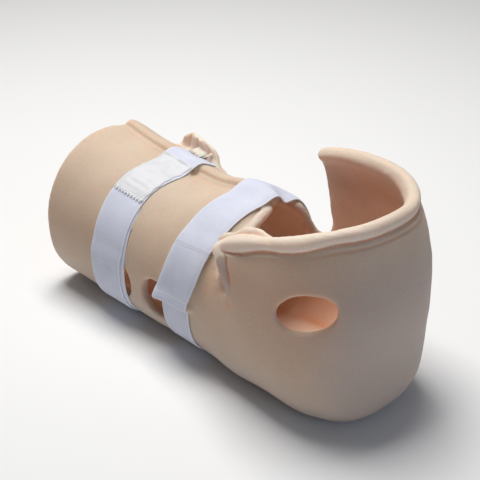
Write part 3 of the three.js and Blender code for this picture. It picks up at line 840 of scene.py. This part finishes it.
strap_finish, tree, shader = new_finish("brushed_loop_tape")
laid = add_node(tree, "UVMap", {"uv_map": "cloth"}).outputs["UV"]
along, across, _ = add_node(tree, "SeparateXYZ", Vector=laid).outputs
nap = add_node(tree, "TexNoise", Vector=laid, Scale=1100.0, Detail=3.0, Roughness=0.7).outputs["Fac"]
worn = add_node(tree, "TexNoise", Vector=laid, Scale=45.0, Detail=3.0, Roughness=0.55).outputs["Fac"]
rows = fine_ribs(tree, "X", Vector=laid, Scale=260.0, Distortion=1.5, Detail_Scale=2.0)
ribs = fine_ribs(tree, "Y", Vector=laid, Scale=330.0, Distortion=1.2, Detail_Scale=2.0)
weave = maths(tree, "MULTIPLY", rows, ribs)
thread = sewn_dashes(tree, attribute(tree, "seam"), across, 0.0028)
face = two_tone(tree, worn, (0.65, 0.67, 0.79, 1), (0.72, 0.74, 0.86, 1), (0.3, 0.7))
face = mixed(tree, 1.0, face, ranged(tree, nap, 0.3, 0.7, 0.86, 1.07), "MULTIPLY")
bound = ranged(tree, attribute(tree, "selvedge"), 0.0008, 0.0018, 1.0, 0.0)
face = mixed(tree, bound, face, (0.80, 0.81, 0.89, 1))
set_inputs(
    tree, shader,
    Base_Color=mixed(tree, thread, face, (0.84, 0.85, 0.91, 1)),
    Roughness=ranged(tree, nap, 0.3, 0.7, 0.82, 0.96),
    Normal=bumped(tree, (weave, 0.35, 0.0004), (nap, 0.5, 0.0005), (thread, 0.8, 0.0004)),
    Specular_IOR_Level=0.2,
    Sheen_Weight=0.12,
    Sheen_Roughness=0.45,
    Sheen_Tint=(0.9, 0.92, 1.0, 1),
)
calf_strap.data.materials.append(strap_finish)
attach(calf_strap, "root")
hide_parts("calf_strap")

# Label. A plain white label of thin woven satin, laid on the calf strap over the shin.
# Its edges are sewn down with small stitches, and it puckers between them.
LABEL_WIDTH = 40.0
LABEL_THICK = 0.5
LABEL_OUT = 0.4
LABEL_PITCH = 1.0
LABEL_PATH = [[167, -99, 0], [190, -101, 0], [216, -103, 0]]
LABEL_SEAM_IN = 1.4
PUCKER_HIGH, CURL_HIGH, CURL_LONG, EDGE_WANDER = 0.16, 1.1, 4, 0.5


def crinkled(along, across, turn, length):
    """Puckers of the label between its sewn edges, and its curled upper end, in millimetres."""
    slack = smooth_step(0.5 - np.abs(across - 0.5), 0.03, 0.2)
    puckers = np.sin(along * 0.42 + 5 * across) * np.sin(along * 0.21 - 9 * across + 1)
    puckers = puckers + 0.5 * np.sin(along * 0.9 + 2)
    curl = CURL_HIGH * (0.6 + 0.4 * np.sin(11 * across)) * (1 - smooth_step(along, 0, CURL_LONG))
    wander = EDGE_WANDER * np.sin(along * 0.5) * (2 * across - 1)
    return PUCKER_HIGH * slack * (puckers + 0.8) + curl, wander


label_seam = LABEL_PATH[-1][0] - LABEL_SEAM_IN
label, label_length = woven_band("calf_strap_label", LABEL_PATH, LABEL_WIDTH, LABEL_THICK, LABEL_PITCH,
                                 LABEL_OUT, seam_turns=(label_seam,), shaped=crinkled)
label_finish, tree, shader = new_finish("white_satin")
laid = add_node(tree, "UVMap", {"uv_map": "cloth"}).outputs["UV"]
along, across, _ = add_node(tree, "SeparateXYZ", Vector=laid).outputs
satin = fine_ribs(tree, "Y", Vector=laid, Scale=620.0, Distortion=0.6)
crush = add_node(tree, "TexNoise", Vector=laid, Scale=90.0, Detail=3.0, Roughness=0.5).outputs["Fac"]
thread = sewn_dashes(tree, maths(tree, "SUBTRACT", attribute(tree, "selvedge"), 0.0018), along, 0.0026)
face = two_tone(tree, crush, (0.66, 0.665, 0.70, 1), (0.73, 0.73, 0.75, 1), (0.3, 0.72))
face = mixed(tree, 1.0, face, ranged(tree, satin, 0.0, 1.0, 0.92, 1.03), "MULTIPLY")
set_inputs(
    tree, shader,
    Base_Color=mixed(tree, thread, face, (0.88, 0.88, 0.9, 1)),
    Roughness=ranged(tree, crush, 0.3, 0.7, 0.38, 0.55),
    Normal=bumped(tree, (crush, 0.3, 0.0008), (satin, 0.2, 0.0002), (thread, 0.8, 0.0004)),
    Sheen_Weight=0.1,
)
label.data.materials.append(label_finish)
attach(label, "root")
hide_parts("calf_label")

# Stitches. White polyester thread, whipped over the label's lower edge.
# The row holds that edge down on the calf strap.
STITCHES = 19
STITCH_LONG, STITCH_THICK, STITCH_OUT = 3.8, 1.3, 0.2
STITCH_TURNS, STITCH_LEANS = (-0.4, 0.6), (-24, 38)
whip = bmesh.new()
for n in range(STITCHES):
    across = (n + 0.5) / STITCHES - 0.5
    turn = np.array([LABEL_PATH[-1][0] + STITCH_TURNS[n % 2]])
    x, layers = path_at(LABEL_PATH, turn)
    out = np.array([LABEL_OUT + STITCH_OUT])
    spot, ahead = [strap_surface(x + across * LABEL_WIDTH, t, out, layers)[0] for t in (turn, turn + 1)]
    stitch = bmesh.ops.create_icosphere(whip, subdivisions=2, radius=0.5)["verts"]
    lean = Quaternion((0, 0, 1), math.radians(STITCH_LEANS[n % 2]))
    long_way = Vector(ahead - spot).normalized()
    up = Vector((1, 0, 0)).cross(long_way).normalized()
    frame_at = Matrix((up.cross(long_way), long_way, up)).transposed().to_4x4()
    frame_at.translation = Vector(spot) / 1000
    size = Matrix.Diagonal((STITCH_THICK / 1000, STITCH_LONG / 1000, STITCH_THICK / 1000, 1))
    bmesh.ops.transform(whip, verts=stitch, matrix=frame_at @ lean.to_matrix().to_4x4() @ size)
for f in whip.faces:
    f.smooth = True
whip_mesh = bpy.data.meshes.new("label_stitches")
whip.to_mesh(whip_mesh)
whip.free()
stitches = linked("label_stitches", whip_mesh)
thread_finish, tree, shader = new_finish("white_thread")
place = add_node(tree, "TexCoord").outputs["Object"]
strand = add_node(tree, "TexNoise", Vector=place, Scale=2200.0, Detail=2.0).outputs["Fac"]
set_inputs(
    tree, shader,
    Base_Color=two_tone(tree, strand, (0.86, 0.86, 0.88, 1), (0.95, 0.95, 0.96, 1)),
    Normal=bumped(tree, (strand, 0.5, 0.0002)),
    Roughness=0.6,
)
whip_mesh.materials.append(thread_finish)
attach(stitches, "root")

# Lower foot strap. A narrower woven loop tape that passes under the ankle.
# It comes up on both sides, where the upper strap closes on its ends.
LOWER_STRAP_WIDTH = 37.0
LOWER_STRAP = [[-125, 6, 0], [-83, -3, 0], [0, -2, 0], [80, 3, 0]]
lower_strap, lower_length = woven_band("foot_strap_lower_tape", LOWER_STRAP, LOWER_STRAP_WIDTH, TAPE_THICK,
                                       TAPE_PITCH, TAPE_OUT, seam_turns=(-120, 75))
bed_in(lower_strap)
lower_strap.data.materials.append(strap_finish)
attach(lower_strap, "root")
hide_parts("foot_strap_lower")

# Upper foot strap. A wide woven loop tape over the instep, hemmed with a sewn line at each end.
# It closes on the lower strap at both sides, and its front edge waves over the opening.
UPPER_STRAP_WIDTH = 46.0
UPPER_STRAP = [
    [40, 5, 1], [80, 6, 1], [98, 7, 0], [180, 9, 0],
    [215, 8, 0], [230, 7, 1], [254, 3, 1], [273, -5, 1],
]
DROOP, DROOP_AT, DROOP_WIDE = 8, 151, 8.5
RIDGE, RIDGE_AT, RIDGE_WIDE = 0.3, 231, 1.3
END_LIFT, CORNER_LIFT, LIFT_LONG = 3.0, 1.8, 16


def waved(along, across, turn, length):
    """The upper strap's drooping front edge over the opening, its step on to the lower strap's end, and
    the lifted corner of its free end, in millimetres."""
    droop = -DROOP * np.exp(-(((turn - DROOP_AT) / DROOP_WIDE) ** 2)) * smooth_step(across, 0.5, 1)
    ridge = RIDGE * np.exp(-(((turn - RIDGE_AT) / RIDGE_WIDE) ** 2))
    lift = END_LIFT + CORNER_LIFT * (1 - smooth_step(across, 0, 0.6))
    return droop + ridge + smooth_step(along, length - LIFT_LONG, length) * lift, 0 * along


upper_strap, upper_length = woven_band("foot_strap_upper_tape", UPPER_STRAP, UPPER_STRAP_WIDTH, TAPE_THICK,
                                       TAPE_PITCH, TAPE_OUT, seam_turns=(45, 233, 270), shaped=waved)
bed_in(upper_strap)
upper_strap.data.materials.append(strap_finish)
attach(upper_strap, "root")
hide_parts("foot_strap_upper")

# Bed top. A plain pale surface under the boot,
# wide enough to fill the view, and no part of the boot.
BED_HALF = 6
top = bmesh.new()
bmesh.ops.create_grid(top, x_segments=1, y_segments=1, size=BED_HALF)
bed_mesh = bpy.data.meshes.new("bed_top")
top.to_mesh(bed_mesh)
top.free()
bed = linked("bed_top", bed_mesh)
bed_finish, tree, shader = new_finish("pale_sheet")
set_inputs(tree, shader, Base_Color=(0.86, 0.86, 0.86, 1), Roughness=0.9)
bed_mesh.materials.append(bed_finish)

# Studio light: a broad warm key above the calf, a cool fill from the sole's side and a pale surround.
# Each light's place, size, power and colour. Both aim at the middle of the boot.
LIGHTS_AIM = Vector((0, 0, 0.08))
LIGHTS = [
    ("key", (-0.4, 0.1, 1.65), 0.9, 31.0, (1.0, 0.99, 0.97)),
    ("fill", (1.5, -0.3, 0.6), 0.8, 3.5, (0.60, 0.76, 1.0)),
]
for name, spot, size, power, colour in LIGHTS:
    lamp = bpy.data.lights.new(name, "AREA")
    lamp.size, lamp.energy, lamp.color = size, power, colour
    light = linked(name, lamp)
    light.location = spot
    light.rotation_euler = (LIGHTS_AIM - Vector(spot)).to_track_quat("-Z", "Y").to_euler()
world = bpy.data.worlds.new("surround")
world.use_nodes = True
set_inputs(world.node_tree, world.node_tree.nodes["Background"], Color=(0.98, 0.98, 1.0, 1), Strength=0.1)
bpy.context.scene.world = world
bpy.context.scene.view_settings.view_transform = "Standard"

# Camera, in front of the sole and to its near side, looking down on the boot.
camera_data = bpy.data.cameras.new("camera")
camera_data.sensor_width = 36.0
camera_data.lens = 90.75
camera = linked("camera", camera_data)
camera.location = (0.7214, -0.6918, 0.660)
camera.rotation_euler = (math.radians(60.852), 0, math.radians(46))
bpy.context.scene.camera = camera
